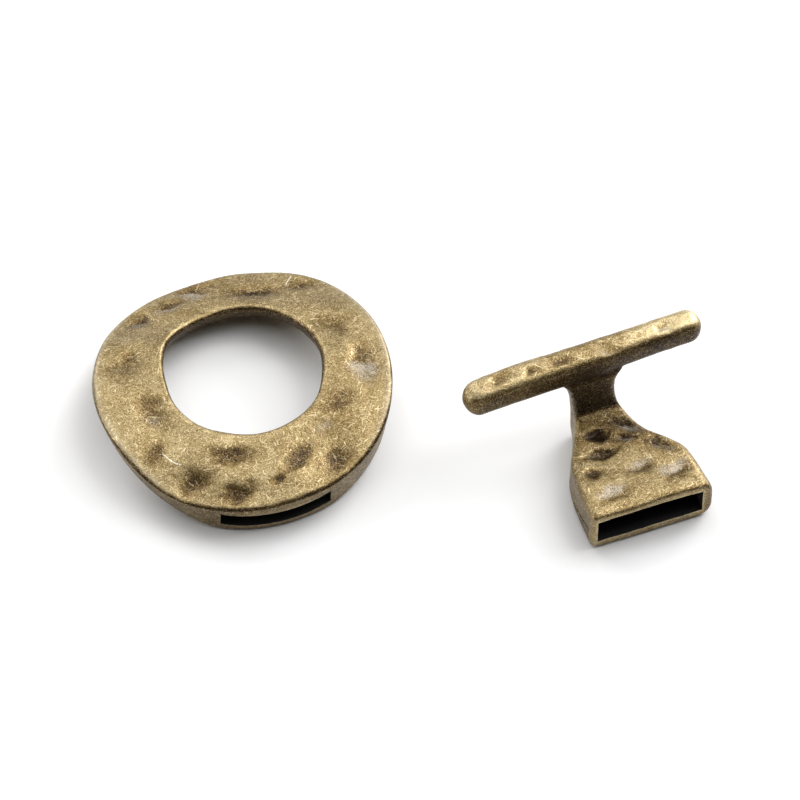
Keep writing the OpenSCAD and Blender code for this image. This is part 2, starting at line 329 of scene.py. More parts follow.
def finish_attributes(piece, slot, wear, grey):
    """Writes what the material reads: wear with painted light and shade, and the painted grey sheen,
    on the vertices, and inside, which is 1 on the faces within the strap slot, where the material
    paints shade. Wear goes up by 0.3 * exp(-(d / 0.22)^2) at the slot's mouth, with d the
    distance from its edge."""
    x, y, z = in_slot(slot, read_array(piece.data.vertices, "co", 3))
    off = np.maximum(np.abs(x) - SLOT_W / 2, np.abs(z - slot.height / 2) - slot.height / 2)
    wear = wear + MOUTH_WEAR * np.exp(-(off / MOUTH_REACH) ** 2) * smooth_step(*MOUTH_FADE, y)
    faces = piece.data.polygons
    x, y, z = in_slot(slot, read_array(faces, "center", 3))
    inside = ((np.abs(x) < SLOT_W / 2 + HAIR) & (z > -HAIR) & (z < slot_roof(slot, x) + HAIR)
              & (y < slot.depth + END_HAIR)).astype(float)
    loops = read_array(faces, "loop_total", kind=int)[:, 0]
    for name, domain, values in (("wear", "POINT", wear), ("grey", "POINT", grey),
                                 ("inside", "CORNER", np.repeat(inside, loops))):
        attribute = piece.data.attributes.new(name, "FLOAT", domain)
        attribute.data.foreach_set("value", values)


# Ring half

RING_TURN = 15.2
RING_ROWS = [            # outer radius, hole radius, thickness at each, from +x every 22.5 degrees
    (13.72, 7.22, 2.66, 2.51), (13.77, 7.33, 2.48, 2.23), (14.53, 7.75, 2.32, 2.0), (14.8, 8.25, 2.59, 1.9),
    (14.3, 8.2, 2.92, 1.9), (14.4, 8.15, 2.4, 1.9), (14.41, 8.0, 2.1, 2.07), (14.3, 7.5, 2.1, 2.25),
    (14.59, 7.28, 2.1, 2.37), (14.88, 7.6, 2.1, 2.46), (15.45, 7.8, 2.34, 2.68), (16.0, 7.85, 3.84, 3.0),
    (15.89, 8.05, 4.76, 3.2), (15.54, 7.9, 3.96, 3.08), (15.06, 7.72, 3.21, 2.85), (14.25, 7.3, 2.86, 2.66),
]
FOOT_INSET, HOLE_FOOT_INSET = 0.5, 0.65
RING_RADII = (0.45, 0.32, 0.55, 0.9)       # foot, outer top edge, hole's top edge, hole's foot
BACK_EDGE_R = 0.32       # how much more radius the outer top edge has at the back than in front
RING_SLOT = Slot(x=-0.6, y=-15.7, z=0.75, height=1.75, arch=0, depth=6, rise=15)
ARCH_RISE, ARCH_HALF, ARCH_Y = 3, 13.4, -0.68   # how high, half length and middle of the bend
RING_MARKS = [           # columns as in Mark
    (-1.9, 12.4, 1.45, 0.90, 10, 0.28, 0.9, 1.0), (-4.8, 10.7, 1.20, 0.80, 20, 0.25, 0.7, 0.8),
    (-7.9, 9.6, 1.10, 0.95, 20, 0.26, 1.0, 0.6), (3.6, 10.3, 2.30, 0.95, -12, 0.26, 0.9, 0.1),
    (8.2, 9.8, 1.40, 0.85, -20, 0.15, 0.6, 0.0), (-10.4, 3.9, 1.70, 1.35, 35, 0.26, 0.5, 0.1),
    (-9.7, -2.8, 2.40, 1.05, 100, 0.30, 0.7, 0.5), (9.5, 3.0, 1.90, 1.00, -50, 0.24, 0.6, 0.0),
    (11.0, -2.3, 2.20, 1.20, 80, 0.34, 0.6, 1.0), (7.7, -6.4, 1.50, 0.90, 40, 0.12, 0.5, 0.0),
    (5.7, -9.3, 1.10, 0.80, 20, 0.10, 0.1, -0.6), (-3.7, -9.9, 2.30, 0.85, -15, 0.30, 1.0, 0.2),
    (2.2, -11.8, 1.70, 0.80, 35, 0.26, 0.9, 0.1), (5.9, -12.4, 1.40, 0.95, 35, 0.22, 0.7, 0.0),
    (0.1, -13.4, 0.70, 0.50, 0, 0.14, 1.1, 0.0), (-7.6, -11.4, 1.30, 1.00, 0, 0.34, 1.1, 0.2),
    (-3.9, -13.8, 1.50, 0.90, -5, 0.32, 1.1, 0.2), (-10.6, -7.8, 1.40, 0.75, 50, 0.16, 0.8, 0.0),
]
# The edge line is a painted dark reflection, the front is painted lighter and the front right darker, the
# rim is a painted sheen, and the side of the hole is darker
RING_WEAR_AND_PAINTED_LIGHT = {            # amounts of wear and of painted light and shade, which lift the colour from dark patina to bright metal
    "everywhere": 0.40, "top": 0.22, "patina of marks": -1, "side of hole": -0.24, "edge line": -0.32,
    "front": 0.05, "front right": -0.15, "rim": 0.1,
}
# Painted grey reflection on the walls, and a painted pale sheen at the rim, RIM_W wide
RING_WALL_PAINTED_SHEEN, RIM_PAINTED_SHEEN, RIM_W = 0.34, 0.55, 1.1
HOLE_SIDE_FADE = (0.35, 0.85)    # part of the normal that points to the ring's middle
EDGE_FADE, EDGE_END_FADE = (0.1, 0.4), (0.55, 0.85)      # upward part of the normal, on the painted dark edge line
EDGE_Y_FADE, EDGE_X_FADE, EDGE_SHIFT = (4, -4), (0, 8), 6    # on the right the line starts farther back
RIM_FADE = (0.35, 0.85)          # sideways part of the direction from the ring's middle, for the painted sheen at the rim
FRONT_FADE, FRONT_RIGHT_FADE = (2, -9), (-1, 5)  # y, x: where the front is painted lighter, and its right side darker


def ring_surface(steps=560, face=58, wall=14, foot=30, arc=6):
    """Sections round the ring at angle t: a four-cornered section with rounded corners, its
    radii and thicknesses read from RING_ROWS at t. The bend raises it by rise * (1 - (y / half)^2)
    with y from the middle of the bend, but its underside never goes below 0. Points that face up
    are lifted by the swell and let down by the hammer marks, by as much as they face up. The
    outer top edge gains radius towards the back with (1 + sin t) / 2."""
    places = np.arange(steps) * len(RING_ROWS) / steps
    outer, hole, high, high_hole = read_table(RING_ROWS, places, closed=True).T
    zero = np.zeros(steps)
    corners = np.stack([np.stack([outer - FOOT_INSET, zero], 1), np.stack([outer, high], 1),
                        np.stack([hole, high_hole], 1), np.stack([hole + HOLE_FOOT_INSET, zero], 1)], 1)
    angle = (places * 2 * math.pi / len(RING_ROWS))[:, None]
    radii = np.tile(RING_RADII, (steps, 1))
    radii[:, 1] += BACK_EDGE_R * (1 + np.sin(angle[:, 0])) / 2
    points, outs = rounded_sections(corners, radii, (wall, face, wall, foot), arc)
    x, y = points[..., 0] * np.cos(angle), points[..., 0] * np.sin(angle)
    up = np.maximum(0, outs[..., 1])
    lift = ARCH_RISE * (1 - ((y - ARCH_Y) / ARCH_HALF) ** 2)
    share = np.minimum(1, points[..., 1] / high_hole[:, None])
    lift += (1 - share) * np.maximum(0, -lift)
    flat = np.stack([x, y, points[..., 1]], axis=-1).reshape(-1, 3)
    relief = swell(x, y) + layered_noise(flat, FINE_RELIEF).reshape(x.shape)
    z = points[..., 1] + lift + up * (relief - mark_depth(RING_MARKS, x, y))
    return np.stack([x, y, z], axis=-1)


def ring_finish(points, normals):
    """Wear, painted light and shade, and the painted grey sheen over the ring. A painted dark
    reflection runs along the outer edge in front and on the right, and a painted pale sheen
    exp(-(d / 1.1)^2) inside it at both sides, d from the outline. The front is painted a little
    lighter and its right side darker, the sides of the hole are darker, and the walls get a painted
    grey reflection."""
    x, y, _ = points.T
    top = facing_up(normals)
    patina, grey = mark_finish(RING_MARKS, x, y, RING_TURN)
    inwards = -np.sum(points[:, :2] * normals[:, :2], axis=1) / np.hypot(x, y)
    facing_hole = smooth_step(*HOLE_SIDE_FADE, inwards)
    # Painted dark reflection along the outer edge
    edge = smooth_step(*EDGE_FADE, normals[:, 2]) * (1 - smooth_step(*EDGE_END_FADE, normals[:, 2]))
    edge *= (1 - facing_hole) * smooth_step(*EDGE_Y_FADE, y - EDGE_SHIFT * smooth_step(*EDGE_X_FADE, x))
    angle = np.arctan2(y, x)
    places = angle / (2 * math.pi) % 1 * len(RING_ROWS)
    outer = read_table(RING_ROWS, places, closed=True)[:, 0]
    # Painted pale sheen just inside the outer edge at both sides
    rim = np.exp(-((outer - np.hypot(x, y)) / RIM_W) ** 2)
    rim *= smooth_step(*RIM_FADE, np.abs(np.cos(angle))) * top
    # Painted light and shade: the front a little lighter, its right side darker
    front = top * smooth_step(*FRONT_FADE, y)
    front_right = front * smooth_step(*FRONT_RIGHT_FADE, x)
    wear = add_up(RING_WEAR_AND_PAINTED_LIGHT, {
        "everywhere": 1, "top": top, "patina of marks": patina * top, "side of hole": facing_hole,
        "edge line": edge, "front": front, "front right": front_right, "rim": rim})
    # Painted grey reflection on the walls
    walls = (1 - top) * (1 - edge) * (1 - facing_hole)
    return wear, np.maximum(grey, RIM_PAINTED_SHEEN * rim) * top + RING_WALL_PAINTED_SHEEN * walls


def make_ring():
    """The ring as one skin, slotted, with its finish on it."""
    ring = skin("ring_casting", ring_surface(), closed=True)
    combine(ring, slot_cutter(RING_SLOT), "DIFFERENCE")
    finish_attributes(ring, RING_SLOT, *ring_finish(*points_and_normals(ring)))
    return ring


# Toggle half

TOGGLE_TURN = 20.9
BODY_ROWS = [            # y, z of the lower edge, y, z of the upper, left, right, flares, roundings
    (-0.10, 0.25, 0.00, 4.12, -5.85, 5.85, 0.00, 0.00, 0.70, 1.15),
    (0.30, 0.00, 0.35, 4.42, -6.08, 6.10, 0.00, 0.00, 0.75, 1.30),
    (1.80, 0.00, 1.80, 4.40, -5.98, 6.05, 0.05, 0.05, 0.70, 1.25),
    (3.90, 0.00, 3.90, 4.25, -5.85, 5.90, 0.05, 0.10, 0.60, 1.10),
    (5.60, 0.00, 5.60, 4.08, -5.60, 5.50, 0.10, 0.40, 0.55, 0.95),
    (7.10, 0.00, 7.10, 3.95, -5.25, 4.50, 0.10, 0.60, 0.50, 0.90),
    (8.60, 0.00, 8.60, 3.85, -4.55, 3.20, 0.10, 0.40, 0.50, 0.85),
    (10.30, 0.00, 10.20, 3.80, -3.70, 2.45, 0.05, 0.15, 0.50, 0.75),
    (12.10, 0.00, 11.60, 3.90, -2.95, 2.00, 0.00, 0.00, 0.50, 0.60),
    (13.35, 0.55, 12.15, 4.25, -2.70, 1.75, 0.00, 0.00, 0.50, 0.50),
    (13.60, 2.20, 12.35, 4.80, -2.70, 1.60, 0.00, 0.00, 0.50, 0.50),
    (13.75, 4.30, 12.45, 5.40, -2.80, 1.50, 0.00, 0.00, 0.50, 0.50),
    (14.20, 6.00, 12.55, 6.10, -3.00, 1.50, 0.00, 0.00, 0.55, 0.55),
    (14.70, 6.90, 12.60, 6.85, -3.25, 1.60, 0.00, 0.00, 0.60, 0.60),
    (15.00, 7.45, 12.65, 7.40, -3.55, 1.80, 0.00, 0.00, 0.60, 0.60),
    (15.05, 7.75, 12.70, 7.70, -3.80, 2.05, 0.00, 0.00, 0.60, 0.60),
    (15.05, 8.20, 12.80, 8.10, -4.10, 2.35, 0.00, 0.00, 0.60, 0.60),
    (14.95, 9.20, 12.95, 9.10, -4.10, 2.35, 0.00, 0.00, 0.60, 0.60),
]
SOCKET_SLOT = Slot(x=-0.25, y=0, z=1, height=2.65, arch=0.15, depth=4.5, rise=0)
BODY_MARKS = [           # columns as in Mark
    (-1.7, 9.5, 0.90, 0.62, -5, 0.34, 1.3, 0.1), (1.2, 9.9, 1.50, 0.60, -40, 0.30, 0.8, 0.9),
    (0.7, 8.2, 0.90, 0.55, -15, 0.26, 0.7, 1.0), (3.2, 6.4, 1.40, 0.60, -35, 0.24, 0.8, 0.6),
    (-2.3, 7.3, 1.40, 0.42, 0, 0.32, 1.1, -0.3), (-4.0, 5.3, 0.75, 0.50, -10, 0.24, 1.1, 0.0),
    (0.8, 4.5, 1.20, 0.80, -15, 0.20, 0.7, -0.8), (3.5, 2.8, 1.40, 1.00, 10, 0.20, 1.0, -1.0),
    (-3.0, 2.3, 1.50, 0.95, 5, 0.18, 0.5, -0.9),
]
SEAM_Z, SEAM_SLOPE, SEAM_W, SEAM_DEPTH = 2.13, -0.23, 0.1, 0.1
SEAM_START_FADE, SEAM_END_FADE, SEAM_SIDE_FADE = (0.6, 0.9), (5.2, 4.6), (-5.1, -5.6)    # y, y, x
BAR_MIDDLE = (-1.4, 14.1, 9.2)
BAR_TURN, BAR_L, BAR_T, BAR_EDGE_R, BAR_END_R = 2.8, 24.3, 2.85, 1.05, 1.5
BAR_END_SWING = (4, 86)  # degrees round each end, from its start to near its tip
BAR_ROWS = [             # y and z off the middle, share of BAR_T
    (0.00, 0.00, 1.02), (0.05, 0.04, 1.05), (0.06, 0.10, 1.07), (0.02, 0.06, 1.06), (-0.02, 0.03, 1.04),
    (0.02, 0.03, 1.02), (0.06, -0.02, 1.00), (0.03, 0.02, 1.00), (0.00, 0.05, 1.01),
]
BAR_MARKS = [            # columns as in Mark, in the bar's own frame
    (-8.2, 0.2, 1.10, 0.60, 10, 0.16, 0.7, 0.1), (-5.3, -0.4, 0.80, 0.50, 10, 0.16, 0.8, 0.4),
    (-2.3, -0.1, 0.90, 0.55, 0, 0.16, 0.8, 0.3), (2.1, -0.5, 1.20, 0.50, 0, 0.12, 0.3, 0.6),
    (8.2, -0.1, 0.90, 0.60, 10, 0.16, 0.7, 0.9),
]
BODY_FADE, BAR_FADE = (7.0, 6.4), (7.4, 8.0)     # heights at which the body ends and the bar starts
UNDER_BAR_FADE, NECK_FOOT_FADE = (8.3, 7.2), (3.9, 4.6)      # heights of the painted shade on the neck under the bar
DENT_FADE, BAR_TOP_FADE = (0.45, 0.85), (0.1, 0.6)           # upward part of the normal
FRONT_FACE_FADE, NECK_FACE_FADE = (0.3, 0.9), (-0.2, 0.4)    # part of the normal towards the front
LIP_FADE, LIP_RIGHT_FADE = (1.0, 0.2), (4.6, 5.6)            # y, x
BACK_FADE, BACK_SLANT = (4.5, 8.5), 0.25         # y and a quarter of x
BAR_RIGHT_FADE, BAR_DARK_X, BAR_DARK_W = (2, 8), 1, 5        # x in the bar's own frame
LATTICE = 0.1            # pitch on which the joined body and bar are rebuilt
FILLET_FACTOR, FILLET_ROUNDS = 0.5, 12
CREASE_Y, CREASE_Z = 12.1, 4.15  # where the neck rises from the body, painted darker as shade in the crease
CREASE_LONG, CREASE_HIGH = 0.5, 0.45
# Crease, under the bar and right of bar front are painted shade; seam is the dark casting seam and lip a
# worn rim; back, right of lip, bar front and middle of bar darken those places, and bar top and right of bar
# lighten them
TOGGLE_WEAR_AND_PAINTED_LIGHT = {          # as RING_WEAR_AND_PAINTED_LIGHT
    "everywhere": 0.38, "top": 0.24, "patina of marks": -1, "seam": -0.5, "crease": -0.2,
    "under the bar": -0.17, "back": -0.2, "lip": 0.22, "right of lip": -0.2, "bar top": 0.12,
    "bar front": -0.12, "right of bar": 0.2, "right of bar front": -0.36, "middle of bar": -0.2,
}
# Painted grey reflection on the body's walls
BODY_WALL_PAINTED_SHEEN = 0.3


def body_surface(steps=180, face=60, wall=20, foot=30, arc=5):
    """Sections of the socket and neck from the mouth back and up. Each is a four-cornered
    section with rounded corners that stands between its lower and upper edge in BODY_ROWS."""
    places = np.linspace(0, len(BODY_ROWS) - 1, steps)
    rows = read_table(BODY_ROWS, places)
    low = np.stack([rows[:, 0], np.maximum(0, rows[:, 1])], 1)
    reach = rows[:, 2:4] - low
    rise = np.linalg.norm(reach, axis=1)
    along = unit(reach)
    left, right, left_flare, right_flare, left_r, right_r = rows[:, 4:10].T
    zero = np.zeros(steps)
    corners = np.stack([np.stack([left - left_flare, zero], 1), np.stack([right + right_flare, zero], 1),
                        np.stack([right, rise], 1), np.stack([left, rise], 1)], 1)
    points, outs = rounded_sections(corners, np.stack([left_r, right_r, right_r, left_r], 1),
                                    (foot, wall, face, wall), arc)
    y = low[:, None, 0] + along[:, None, 0] * points[..., 1]
    z = low[:, None, 1] + along[:, None, 1] * points[..., 1]
    up = np.maximum(0, outs[..., 1]) * np.maximum(0, along[:, None, 1]) ** 2
    lift = up * swell(points[..., 0], y)
    return np.stack([points[..., 0], y + along[:, None, 0] * lift,
                     np.maximum(0, z + along[:, None, 1] * lift)], axis=-1)


def bar_surface(steps=200, end_steps=14, face=14, arc=6):
    """Sections of the cross bar: a square with rounded corners, its size and place read from
    BAR_ROWS at x. Over each round end x = straight + r sin(a), and the section shrinks by cos(a)."""
    straight = BAR_L / 2 - BAR_END_R
    swing = np.radians(np.linspace(*BAR_END_SWING, end_steps))
    tip, share = straight + BAR_END_R * np.sin(swing), np.cos(swing)
    x = np.concatenate([tip[::-1], np.linspace(straight, -straight, steps), -tip])
    share = np.concatenate([share[::-1], np.ones(steps), share])
    off_y, off_z, size = read_table(BAR_ROWS, (x / BAR_L + 0.5) * (len(BAR_ROWS) - 1)).T
    half = BAR_T * size / 2
    square = np.array([(-1, -1), (1, -1), (1, 1), (-1, 1)])
    corners = half[:, None, None] * square[None]
    radii = np.full((len(x), 4), BAR_EDGE_R)
    points, _ = rounded_sections(corners, radii, (face,) * 4, arc)
    points = points * share[:, None, None]
    grid = np.stack([np.repeat(x[:, None], points.shape[1], axis=1),
                     points[..., 0] + off_y[:, None], points[..., 1] + off_z[:, None]], axis=-1)
    return turned(grid, BAR_TURN) + BAR_MIDDLE


def seam_line(points):
    """1 along the casting seam on the socket's left side, z = 2.13 - 0.23 y, and 0 off it."""
    x, y, z = points.T
    off = (z - SEAM_Z - SEAM_SLOPE * y) / SEAM_W
    ends = smooth_step(*SEAM_START_FADE, y) * smooth_step(*SEAM_END_FADE, y)
    return np.exp(-off ** 2) * smooth_step(*SEAM_SIDE_FADE, x) * ends


def body_and_bar(points):
    """Shares of the body and of the bar, 1 on each, and the points in the bar's own frame."""
    z = points[:, 2]
    in_bar = turned(points - BAR_MIDDLE, -BAR_TURN)
    return smooth_step(*BODY_FADE, z), smooth_step(*BAR_FADE, z), in_bar


def hammer(toggle):
    """Moves the toggle's surface along its normals: out by the fine relief, and in by the hammer
    marks where it faces up and by the seam."""
    points, normals = points_and_normals(toggle)
    on_body, on_bar, in_bar = body_and_bar(points)
    depth = (on_body * mark_depth(BODY_MARKS, points[:, 0], points[:, 1])
             + on_bar * mark_depth(BAR_MARKS, in_bar[:, 0], in_bar[:, 1]))
    depth *= smooth_step(*DENT_FADE, normals[:, 2])
    move = layered_noise(points, FINE_RELIEF) - depth - SEAM_DEPTH * seam_line(points)
    toggle.data.vertices.foreach_set("co", (points + normals * move[:, None]).ravel())
    toggle.data.update()


def toggle_finish(points, normals):
    """Wear, painted shade and the painted grey sheen over the toggle half. The crease is darkened as
    painted shade by exp(-((y - 12.1) / 0.5)^2 - ((z - 4.15) / 0.45)^2), and the bar by
    exp(-((x - 1) / 5)^2). The neck under the bar and the right of the bar's front are painted darker
    as shade, and the walls get a painted grey reflection."""
    x, y, z = points.T
    top = facing_up(normals)
    front = smooth_step(*FRONT_FACE_FADE, -normals[:, 1])
    on_body, on_bar, in_bar = body_and_bar(points)
    body_patina, body_painted_sheen = mark_finish(BODY_MARKS, x, y, TOGGLE_TURN)
    bar_patina, bar_painted_sheen = mark_finish(BAR_MARKS, in_bar[:, 0], in_bar[:, 1], TOGGLE_TURN + BAR_TURN)
    # Painted shade on the neck under the bar
    under = smooth_step(*UNDER_BAR_FADE, z) * smooth_step(*NECK_FOOT_FADE, z)
    under *= smooth_step(*NECK_FACE_FADE, -normals[:, 1])
    # Painted shade in the crease where the neck rises
    crease = np.exp(-((y - CREASE_Y) / CREASE_LONG) ** 2 - ((z - CREASE_Z) / CREASE_HIGH) ** 2)
    lip = smooth_step(*LIP_FADE, y) * on_body
    bar_right = on_bar * smooth_step(*BAR_RIGHT_FADE, in_bar[:, 0])
    wear = add_up(TOGGLE_WEAR_AND_PAINTED_LIGHT, {
        "everywhere": 1,
        "top": top,
        "patina of marks": (on_body * body_patina + on_bar * bar_patina) * top,
        "seam": seam_line(points),
        "crease": crease,
        "under the bar": under,
        "back": smooth_step(*BACK_FADE, y + BACK_SLANT * x) * on_body * top,
        "lip": lip * (1 - top),
        "right of lip": lip * smooth_step(*LIP_RIGHT_FADE, x),
        "bar top": on_bar * smooth_step(*BAR_TOP_FADE, normals[:, 2]),
        "bar front": on_bar * front,
        "right of bar": bar_right,
        # Painted shade on the right of the bar's front
        "right of bar front": bar_right * front,
        "middle of bar": on_bar * np.exp(-((in_bar[:, 0] - BAR_DARK_X) / BAR_DARK_W) ** 2)})
    grey = on_body * body_painted_sheen + on_bar * bar_painted_sheen
    # Painted grey reflection on the body's walls
    return wear, grey * top + BODY_WALL_PAINTED_SHEEN * (1 - top) * (1 - on_bar)


def make_toggle():
    """The socket, neck and bar as one skin: joined, rebuilt on a fine lattice and smoothed so
    that the joints become fillets, then hammered and slotted."""
    toggle = skin("toggle_casting", body_surface(), closed=False)
    combine(toggle, skin("bar", bar_surface(), closed=False), "UNION")
    remesh = toggle.modifiers.new("lattice", "REMESH")
    remesh.mode, remesh.voxel_size, remesh.adaptivity = "VOXEL", LATTICE, 0
    smooth = toggle.modifiers.new("fillets", "SMOOTH")
    smooth.factor, smooth.iterations = FILLET_FACTOR, FILLET_ROUNDS
    settle(toggle)
    hammer(toggle)
    combine(toggle, slot_cutter(SOCKET_SLOT), "DIFFERENCE")
    finish_attributes(toggle, SOCKET_SLOT, *toggle_finish(*points_and_normals(toggle)))
    return toggle


# Antique bronze

CLOUD, PATCH = (0.45, 2, 0.5), (1.5, 2, 0.5)     # noise scale for each mm, detail and roughness
SPECK, GRAIN = (7.0, 2, 0.7), (15.0, 1, 0.5)
GLINT, WARP = (8.5, 1, 0.5), (1.1, 1, 0.5)
PLATING = [              # colour by wear and painted light and shade, from dark patina to bright metal
    (0.0, (0.019, 0.010, 0.004)), (0.2, (0.070, 0.041, 0.014)), (0.42, (0.175, 0.116, 0.042)),
    (0.6, (0.268, 0.195, 0.084)), (0.8, (0.39, 0.305, 0.162)), (1.0, (0.60, 0.485, 0.270)),
]
# Colour of the painted grey sheen, and of bright scratches and painted glints
PAINTED_SHEEN_COLOR, BRIGHT = (0.40, 0.375, 0.325), (0.74, 0.61, 0.37)
# Colour of the long scratches, and of the painted shade inside the slots
STROKE, SLOT_PAINTED_SHADE = (0.88, 0.82, 0.68), (0.006, 0.005, 0.004)
SCRATCH_TURNS = (8, 42, 78, 115, 152)
SCRATCH_SIZE, SCRATCH_NOISE = (1.5, 0.11, 0.11), (1, 0, 0.5)
SCRATCH_PEAKS, GLINT_PEAKS = (0.74, 0.80), (0.69, 0.77)      # noise where they start and fully show
WARP_REACH = (0.5, 0.5, 0.5)
SCRATCH_EDGE = (0.03, 0.09)      # how far from its middle line a long scratch fades, in mm
COAT, COAT_ROUGHNESS = 0.18, 0.25
LONG_SCRATCHES = [       # middle of a circle, its radius, middle and half length of the scratch on it
    ((-19.445, -6.77), 2.98, (-21.065, -8.975), 1.15),
    ((7.665, 6.31), 20, (-10.775, 14.07), 0.75),
]


class Graph:
    """Adds nodes to one material."""

    def __init__(self, material):
        self.tree = material.node_tree
        self.shader = self.tree.nodes["Principled BSDF"]

    def node(self, kind, settings, sockets):
        """A node of one type, with its settings made first, and values or links for its sockets."""
        made = self.tree.nodes.new(kind)
        for name, value in settings.items():
            if name == "stops":
                self.set_stops(made.color_ramp, value)
            else:
                setattr(made, name, value)
        for name, value in sockets.items():
            self.feed(made.inputs[name], value)
        return made

    def set_stops(self, ramp, stops):
        """A ramp starts with a stop at each end, and the ones between them are added."""
        for position, _ in stops[1:-1]:
            ramp.elements.new(position)
        for stop, (position, color) in zip(ramp.elements, stops):
            stop.position, stop.color = position, (*color, 1)

    def feed(self, socket, value):
        """Links a value or another socket to a socket, or sets a plain number or colour on it."""
        if isinstance(value, Value):
            self.tree.links.new(value.socket, socket)
        elif isinstance(value, bpy.types.NodeSocket):
            self.tree.links.new(value, socket)
        else:
            socket.default_value = value

    def attribute(self, name):
        return Value(self, self.node("ShaderNodeAttribute", {"attribute_name": name}, {}).outputs["Fac"])

    def vector(self, operation, sockets, output="Vector"):
        """The result of a Vector Math node."""
        return self.node("ShaderNodeVectorMath", {"operation": operation}, sockets).outputs[output]

    def noise(self, vector, layer):
        """A noise node's outputs: Fac is its value, and Color holds three independent ones."""
        scale, detail, roughness = layer
        return self.node("ShaderNodeTexNoise", {}, {"Vector": vector, "Scale": scale, "Detail": detail,
                                                    "Roughness": roughness}).outputs

    def centred(self, vector, layer):
        """Noise about 0."""
        return Value(self, self.noise(vector, layer)[0]) - 0.5

    def over(self, factor, color, below):
        """A colour laid over another one by a factor."""
        mix = self.node("ShaderNodeMix", {"data_type": "RGBA"}, {"Factor": factor, 6: below, 7: (*color, 1)})
        return mix.outputs[2]


class Value:
    """A number that changes over the surface. Its operators add Math nodes."""

    def __init__(self, graph, socket):
        self.graph, self.socket = graph, socket

    def math(self, operation, *terms):
        made = self.graph.node("ShaderNodeMath", {"operation": operation}, dict(enumerate(terms)))
        return Value(self.graph, made.outputs[0])

    def __add__(self, other):
        return self.math("ADD", self, other)

    def __sub__(self, other):
        return self.math("SUBTRACT", self, other)

    def __rsub__(self, other):
        return self.math("SUBTRACT", other, self)

    def __mul__(self, other):
        return self.math("MULTIPLY", self, other)

    __radd__, __rmul__ = __add__, __mul__

    def __abs__(self):
        return self.math("ABSOLUTE", self)

    def at_least(self, other):
        return self.math("MAXIMUM", self, other)

    def between(self, low, high):
        """0 at low, 1 at high and a smooth step in between."""
        made = self.graph.node("ShaderNodeMapRange", {"interpolation_type": "SMOOTHSTEP"},
                               {"Value": self, "From Min": low, "From Max": high})
        return Value(self.graph, made.outputs[0])


def scratches(graph, bent, turn):
    """Thin streaks: noise drawn out along one direction, of which only the peaks show."""
    drawn = graph.node("ShaderNodeMapping", {"vector_type": "TEXTURE"},
                       {"Vector": bent, "Rotation": (0, 0, math.radians(turn)),
                        "Scale": SCRATCH_SIZE}).outputs[0]
    return Value(graph, graph.noise(drawn, SCRATCH_NOISE)[0]).between(*SCRATCH_PEAKS)


def long_scratch(graph, mm, middle, radius, spot, half):
    """One long scratch: part of a thin circle seen from above, near a spot on it."""
    flat = graph.vector("MULTIPLY", {0: mm, 1: (1, 1, 0)})
    off, along = (Value(graph, graph.vector("DISTANCE", {0: flat, 1: (*point, 0)}, "Value"))
                  for point in (middle, spot))
    line = 1 - abs(off - radius).between(*SCRATCH_EDGE)
    return line * (1 - along.between(half * 0.7, half * 1.1))


def bronze():
    """Antique bronze plating. Wear, with painted light and shade, lifts its colour through a ramp
    from dark patina to bright metal, broken up by noise from 2 mm down to 0.07 mm. A painted grey
    sheen lies over it in specks beside the marks and on the walls, and fine scratches, painted
    glints and two long scratches over that. The slots are painted dark inside as shade, and a thin
    coat covers all."""
    material = bpy.data.materials.new("antique_bronze")
    material.use_nodes = True
    graph = Graph(material)
    position = graph.node("ShaderNodeTexCoord", {}, {}).outputs["Object"]
    mm = graph.vector("SCALE", {0: position, "Scale": 1 / MM})
    wear, grey, inside = (graph.attribute(name) for name in ("wear", "grey", "inside"))
    cloud, patch, speck, grain = (graph.centred(mm, layer) for layer in (CLOUD, PATCH, SPECK, GRAIN))
    # Painted glints: tiny specks of reflected light
    glint = Value(graph, graph.noise(mm, GLINT)[0]).between(*GLINT_PEAKS)

    bent = graph.vector("MULTIPLY_ADD", {0: graph.noise(mm, WARP)["Color"], 1: WARP_REACH, 2: mm})
    lines, *more_lines = (scratches(graph, bent, turn) for turn in SCRATCH_TURNS)
    for other in more_lines:
        lines = lines.at_least(other)
    first, second = (long_scratch(graph, mm, *row) for row in LONG_SCRATCHES)
    strokes = first.at_least(second)

    level = wear + cloud * 0.35 + patch * 0.4 + (speck * 1.35 + grain * 0.6) * (1.05 - grey * 1.4)
    # The painted grey sheen, broken into specks
    shine = (grey * (speck * 5 + 0.85)).between(0.15, 1)
    # Bright metal in the scratches, and the painted glints
    bright = (lines * 0.75 + glint * 0.7) * (wear + 0.28)
    color = graph.node("ShaderNodeValToRGB", {"stops": PLATING}, {"Fac": level}).outputs[0]
    color = graph.over(shine * 0.75, PAINTED_SHEEN_COLOR, color)
    color = graph.over(bright, BRIGHT, color)
    color = graph.over(strokes * (speck * 3 + 0.7), STROKE, color)
    # Painted shade inside the slots
    color = graph.over(inside, SLOT_PAINTED_SHADE, color)
    # Relief is in millimetres
    relief = speck * 0.030 + patch * 0.05 + grain * 0.010 - lines * 0.008
    bump = graph.node("ShaderNodeBump", {}, {"Strength": 1, "Distance": MM, "Height": relief})
    for name, value in (("Base Color", color),
                        ("Metallic", (1 - shine * 0.7) * (1 - inside)),
                        ("Roughness", 0.52 - level * 0.12 - bright * 0.1 + inside * 0.3),
                        ("Normal", bump.outputs[0]),
                        ("Coat Weight", COAT),
                        ("Coat Roughness", COAT_ROUGHNESS)):
        graph.feed(graph.shader.inputs[name], value)
    return material


# Assembly

SHARP_ANGLE = 60


